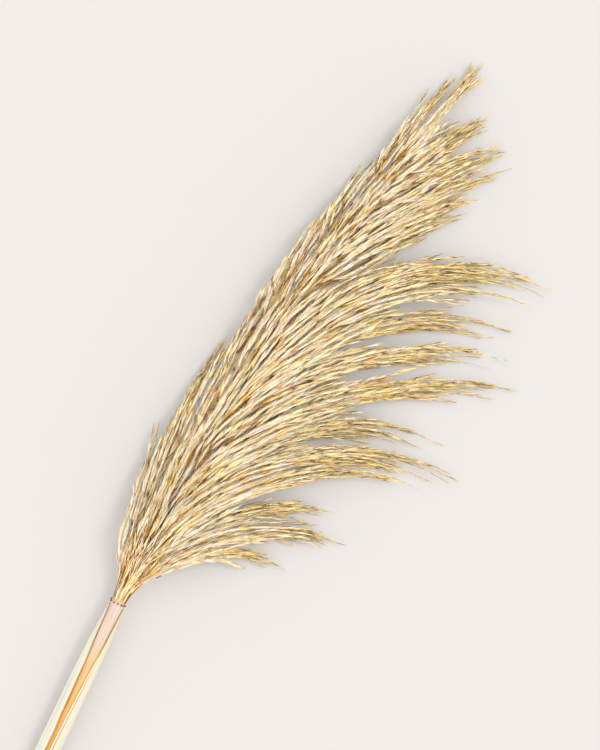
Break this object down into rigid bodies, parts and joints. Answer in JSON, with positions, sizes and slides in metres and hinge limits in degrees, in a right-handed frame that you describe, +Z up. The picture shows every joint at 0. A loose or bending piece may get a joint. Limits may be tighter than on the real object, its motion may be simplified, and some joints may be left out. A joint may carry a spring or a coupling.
{
  "type": "dried pampas grass plume",
  "caption": "Cut plume of dried pampas grass on one stem, lying on its side, with arching branches that all sweep to one side and a leaf sheath round the stem.",
  "frame": {"origin": "on the surface that the plume lies on, under the middle of its bounding box", "axes": "+X from the cut end of the stem to the plume's tip, +Z up from the surface, +Y towards the plume's back, so the branches arch over towards -Y"},
  "size_m": [0.6696, 0.1968, 0.0414],
  "materials": {
    "culm": "dry, smooth straw, satin",
    "sheath": "dry papery leaf with fine lengthwise ribs, matt",
    "bract": "rough dark scar tissue, matt",
    "plume": "soft straw-coloured spikelets with pale hairs, matt"
  },
  "bodies": {
    "root": {"bract_ring": "bract", "branch_a1": "plume", "branch_b1": "plume", "branch_b2": "plume", "branch_c1": "plume", "branch_c2": "plume", "branch_d1": "plume", "branch_d2": "plume", "branch_d3": "plume", "branch_d4": "plume", "branch_e1": "plume", "branch_e2": "plume", "branch_e3": "plume", "branch_f1": "plume", "branch_f2": "plume", "branch_f3": "plume", "branch_g1": "plume", "branch_g2": "plume", "branch_g3": "plume", "branch_h1": "plume", "branch_h2": "plume", "branch_h3": "plume", "branch_i1": "plume", "branch_i2": "plume", "branch_i3": "plume", "branch_i4": "plume", "branch_j1": "plume", "branch_j2": "plume", "branch_j3": "plume", "branch_k1": "plume", "branch_k2": "plume", "branch_l1": "plume", "branch_l2": "plume", "branch_l3": "plume", "branch_l4": "plume", "branch_m1": "plume", "branch_m2": "plume", "branch_m3": "plume", "branch_n1": "plume", "branch_n2": "plume", "branch_n3": "plume", "branch_o1": "plume", "branch_o2": "plume", "branch_q1": "plume", "branch_q2": "plume", "branch_r1": "plume", "branch_r2": "plume", "branch_s1": "plume", "branch_s2": "plume", "branch_t1": "plume", "branch_t2": "plume", "branch_u1": "plume", "branch_u2": "plume", "branch_v1": "plume", "branch_v2": "plume", "branch_w1": "plume", "branch_w2": "plume", "leaf_sheath": "sheath", "stem": "culm"}
  },
  "joints": []
}
